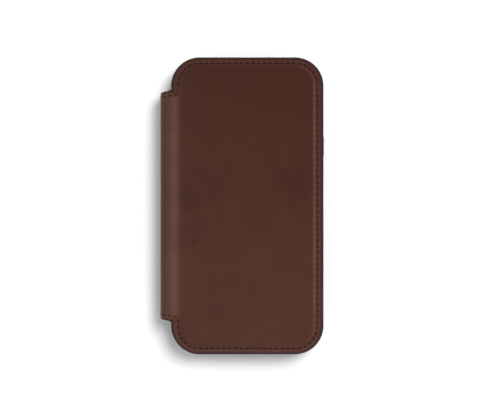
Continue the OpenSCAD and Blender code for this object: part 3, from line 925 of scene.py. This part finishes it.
def magnet_material(groups):
    """Nickel-plated magnet with fine tumbling marks."""
    material, tree, shader, place = surface("plated_magnet")
    skin = place_group(tree, groups["moulding"], {"Place": place, "Etch": 2600.0})
    tone = mix(tree, remap(tree, skin["Smears"], 0.35, 0.65), rgb(112, 110, 107), rgb(134, 132, 128))
    tree.links.new(tone, shader.inputs["Base Color"])
    shader.inputs["Metallic"].default_value = 1.0
    tree.links.new(remap(tree, skin["Smears"], 0.3, 0.7, 0.24, 0.38), shader.inputs["Roughness"])
    relief(tree, shader, skin["Height"], 0.00002, 0.4)
    return material


def board_material(groups):
    """Grey-brown fibre board with pulp flecks."""
    material, tree, shader, place = surface("fibre_board")
    pulp = place_group(tree, groups["mottle"], {"Place": place, "Clouds": 180.0, "Flecks": 1800.0})
    tone = mix(tree, remap(tree, pulp["Clouds"], 0.35, 0.65), rgb(104, 95, 84), rgb(128, 119, 106))
    tone = mix(tree, remap(tree, pulp["Flecks"], 0.5, 0.75, 0.0, 0.5), tone, rgb(78, 70, 62))
    tree.links.new(tone, shader.inputs["Base Color"])
    tree.links.new(remap(tree, pulp["Flecks"], 0.3, 0.7, 0.8, 0.95), shader.inputs["Roughness"])
    relief(tree, shader, pulp["Flecks"], 0.00008, 0.6)
    return material


def glue_film_material(groups):
    """Thin dried adhesive film, milky and uneven."""
    material, tree, shader, place = surface("glue_film")
    film = place_group(tree, groups["mottle"], {"Place": place, "Clouds": 90.0, "Flecks": 700.0})
    tone = mix(tree, remap(tree, film["Clouds"], 0.35, 0.65), rgb(150, 143, 128), rgb(176, 169, 154))
    tree.links.new(tone, shader.inputs["Base Color"])
    tree.links.new(remap(tree, film["Flecks"], 0.3, 0.7, 0.3, 0.5), shader.inputs["Roughness"])
    relief(tree, shader, film["Clouds"], 0.00006, 0.5)
    return material


def floor_material():
    """Seamless white paper."""
    material, tree, shader, place = surface("white_sweep")
    fibre = noise(tree, place, 600.0, 3.0)
    tone = mix(tree, fibre, (0.93, 0.93, 0.93, 1), (0.95, 0.95, 0.95, 1))
    tree.links.new(tone, shader.inputs["Base Color"])
    shader.inputs["Roughness"].default_value = 0.9
    shader.inputs["Specular IOR Level"].default_value = 0.1
    return material


# ---------------------------------------------------------------- putting the case together
def make_materials():
    """Every finish of the case, by the name the pieces ask for."""
    groups = {"grain": hide_grain_group(), "mottle": mottle_group(), "wear_and_sheen_patches": wear_and_sheen_group(),
              "nap": nap_group(), "moulding": moulding_group()}
    # each leather's last tone is its painted sheen and wear colour
    outer = leather_material("outer_leather_finish", groups, rgb(54, 24, 15), rgb(66, 34, 21),
                             rgb(72, 38, 24), rgb(108, 78, 70))
    pocket = leather_material("pocket_leather_finish", groups, rgb(60, 33, 27), rgb(72, 41, 33),
                              rgb(86, 51, 41), rgb(100, 60, 47), grain=3000.0, roughness=0.5)
    return {
        "outer": outer, "pocket": pocket, "edge": painted_edge_material(groups),
        "lining": nap_material("suede_finish", groups, rgb(82, 53, 43), rgb(93, 62, 51)),
        "pad": nap_material("pad_finish", groups, rgb(56, 54, 53), rgb(63, 61, 60), 3000.0),
        "thread": thread_material(groups),
        "shell": plastic_material("shell_finish", groups, rgb(13, 10, 10), rgb(21, 17, 17), 0.55),
        "button": plastic_material("button_finish", groups, rgb(28, 28, 28), rgb(40, 40, 40), 0.36, 6500.0),
        "magnet": magnet_material(groups), "board": board_material(groups),
        "glue": glue_film_material(groups)}


def make_case(paint):
    """Every piece of the case; the pockets, the card seam, the shell's pieces and the button caps ride on
    their bodies.
    """
    make_folio(paint)
    make_pockets(paint)
    make_seams(paint)
    make_shell(paint)
    for node, kind in (("cover_board", "board"), ("cover_magnets", "magnet"),
                       ("shell_magnets", "magnet"), ("shell_adhesive", "glue")):
        for held in bpy.data.objects[node].material_slots:
            held.material = paint[kind]


def flat(x, y):
    """No relief."""
    return 0.0


def make_folio(paint):
    """The outer leather and the suede lining, each as a cover half and a back half."""
    hide, inner = [paint["outer"], paint["edge"]], [paint["lining"], paint["lining"]]
    cover = folio_sheet("cover_hide", True, HIDE_INSET, 0.0, LEATHER, (OUTER_RIM, INNER_RIM),
                        cover_relief, under_rise, hide)
    hang_on_fold(cover)
    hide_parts("cover_leather", "spine_leather")
    back = folio_sheet("back_hide", False, HIDE_INSET, 0.0, LEATHER, (OUTER_RIM, INNER_RIM),
                       back_relief, flat, hide)
    carve(back, [camera_prism(1.4, -2, 6)])
    hang_on_fold(back)
    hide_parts("back_leather")

    lining = folio_sheet("cover_suede", True, SUEDE_INSET, -LEATHER, LINING, (LINING_RIM, LINING_RIM),
                         flat, flat, inner)
    hang_on_fold(lining)
    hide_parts("cover_lining", "spine_lining")
    back_lining = folio_sheet("back_suede", False, SUEDE_INSET, -LEATHER, LINING, (LINING_RIM, LINING_RIM),
                              flat, flat, inner)
    carve(back_lining, [camera_prism(1.4, -2, 6)])
    hang_on_fold(back_lining)
    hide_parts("back_lining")


def make_pockets(paint):
    """The cash panel over the whole cover and the three stepped card panels."""
    cash = pocket_sheet("cash_panel", CASH, False, paint["pocket"], paint["edge"])
    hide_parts("cash_pocket")
    for label, box in zip(("lower", "middle", "upper"), CARDS):
        panel = pocket_sheet("card_panel_" + label, box, True, paint["pocket"], paint["edge"])
        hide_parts("card_pocket_" + label)


def make_seams(paint):
    """The seams round both panels and the card panels' seam."""
    for label, upper, inner_face, nodes in (
            ("cover_seam", True, inner_level, ("cover_stitching", "spine_stitching")),
            ("back_seam", False, lambda x, y: -LEATHER - LINING, ("back_stitching",))):
        seam = perimeter_seam(label, upper, inner_face, paint["thread"])
        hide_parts(*nodes)
    seam = card_seam(paint["thread"])
    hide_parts("pocket_stitching")


def make_shell(paint):
    """The shell with its camera collar, its pad and its three button caps."""
    tray, collar = shell_tray(paint["shell"]), shell_collar(paint["shell"])
    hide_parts("phone_shell")
    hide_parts("phone_shell")
    pad = shell_pad(paint["pad"])
    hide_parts("shell_lining")
    for node, name, body in (("power_button", "power_cap", "power_key"),
                             ("volume_up_button", "volume_up_cap", "volume_up_key"),
                             ("volume_down_button", "volume_down_cap", "volume_down_key")):
        button_cap(node, name, body, paint["button"])


# ---------------------------------------------------------------- studio
FLOOR_DROP = 0.0003                         # the floor lies clear of the back's stitches


def make_floor():
    """A plain floor under the case, which isn't part of it."""
    bm = bmesh.new()
    bmesh.ops.create_grid(bm, x_segments=2, y_segments=2, size=2.5)
    mesh = bpy.data.meshes.new("floor")
    bm.to_mesh(mesh)
    bm.free()
    mesh.materials.append(floor_material())
    floor = bpy.data.objects.new("floor", mesh)
    floor.data.transform(Matrix.Translation((0, 0, CAD_BOX[0].z - FLOOR_DROP)))
    bpy.context.scene.collection.objects.link(floor)


def area_light(name, aim, direction, distance, size, power, gloss=True, diffuse=True):
    """A square softbox at a distance along a direction from its aim, turned towards it."""
    data = bpy.data.lights.new(name, "AREA")
    data.shape = "SQUARE"
    data.size, data.energy = size, power
    light = bpy.data.objects.new(name, data)
    towards = Vector(direction).normalized()
    light.location = Vector(aim) + towards * distance
    light.rotation_mode = "QUATERNION"
    light.rotation_quaternion = (-towards).to_track_quat("-Z", "Y")
    light.visible_glossy = gloss
    light.visible_diffuse = diffuse
    light.visible_camera = False
    bpy.context.scene.collection.objects.link(light)


def make_room(horizon, overhead):
    """White walls under a darker ceiling, so that flat leather doesn't go milky."""
    world = bpy.data.worlds.new("white_room")
    world.use_nodes = True
    tree = world.node_tree
    towards = tree.nodes.new("ShaderNodeTexCoord").outputs["Generated"]
    height = add(tree, "ShaderNodeSeparateXYZ", {"Vector": towards}).outputs["Z"]
    level = add(tree, "ShaderNodeMapRange", {"Value": height, "From Min": 0.0, "From Max": 0.85,
                                             "To Min": horizon, "To Max": overhead}).outputs["Result"]
    background = tree.nodes["Background"]
    background.inputs["Color"].default_value = (1, 1, 1, 1)
    tree.links.new(level, background.inputs["Strength"])
    bpy.context.scene.world = world


def make_lights():
    """A soft key from the upper right; the other softboxes only show as gloss on the leather."""
    make_room(2.15, 0.12)
    area_light("key", (0, 0, 0), (0.34, 0.34, 0.9), 3.0, 1.3, 73.0, gloss=False)
    area_light("lower_softbox", (0, -0.05, 0), (0.0, -0.42, 0.9), 0.9, 0.5, 2.7, diffuse=False)
    area_light("left_strip", (0, 0, 0), (-0.5, 0.0, 0.86), 0.9, 0.3, 2.2, diffuse=False)
    area_light("right_strip", (0, 0, 0), (0.83, 0.0, 0.56), 0.9, 0.35, 2.5, diffuse=False)


def make_camera():
    """Looks straight down on the closed case."""
    data = bpy.data.cameras.new("camera")
    data.sensor_width = 36.0
    camera = bpy.data.objects.new("camera", data)
    height, view_width, level = 0.7, 0.2578, 17.5 * MM
    data.lens = data.sensor_width * height / view_width
    camera.location = (1.39 * MM, 1.47 * MM, level + height)
    bpy.context.scene.collection.objects.link(camera)
    bpy.context.scene.camera = camera


make_camera()
make_case(make_materials())
make_floor()
make_lights()
bpy.context.scene.view_settings.view_transform = "Standard"
